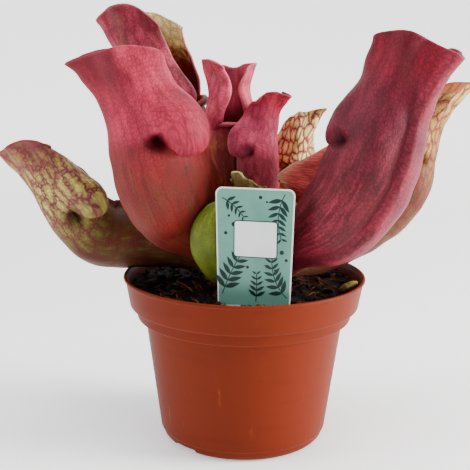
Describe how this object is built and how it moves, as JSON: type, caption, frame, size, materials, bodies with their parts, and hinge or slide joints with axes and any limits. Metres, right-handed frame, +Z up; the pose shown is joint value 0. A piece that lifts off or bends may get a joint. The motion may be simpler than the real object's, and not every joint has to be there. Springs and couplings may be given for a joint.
{
  "type": "potted pitcher plant",
  "caption": "Round plastic nursery pot of peat with a rosette of open, hooded purple pitcher leaves and a flat plant label stuck in front.",
  "frame": {"origin": "centre of the pot's foot, on the surface it stands on", "axes": "+Z up, +X to the right of the label as it is read, -Y towards the label's printed face"},
  "size_m": [0.2353, 0.12, 0.2107],
  "materials": {
    "pot_plastic": "terracotta orange injection-moulded plastic, slightly scuffed",
    "peat": "loose moist dark peat with fibres",
    "label_card": "printed plastic card, satin, thin pale edge",
    "leaf_pink": "waxy leaf, pink with dark red veins",
    "leaf_green_purple": "waxy leaf, yellow-green with purple veins",
    "leaf_dark_red": "waxy leaf, dark red with darker veins",
    "leaf_yellow_red": "waxy leaf, yellow with red net veins",
    "leaf_pale_pink": "waxy leaf, pale pink outside, dark red inside",
    "leaf_pink_hood": "waxy leaf, pink hood, dark red inside",
    "leaf_crimson": "waxy leaf, crimson with fine veins",
    "leaf_cream": "waxy leaf, cream with red-purple net veins",
    "leaf_lime": "smooth lime green young leaf",
    "leaf_small_green": "small yellow-green leaf with a pale edge"
  },
  "bodies": {
    "root": {"pot": "pot_plastic", "soil": "peat", "plant_label": "label_card", "pitcher_front_left": "leaf_pink", "pitcher_far_left": "leaf_green_purple", "pitcher_front_right": "leaf_dark_red", "pitcher_back_right": "leaf_yellow_red", "pitcher_back_left": "leaf_pale_pink", "pitcher_back_centre": "leaf_pink_hood", "pitcher_centre": "leaf_crimson", "pitcher_right_centre": "leaf_cream", "young_pitcher": "leaf_lime", "small_pitcher_front": "leaf_small_green"}
  },
  "joints": []
}
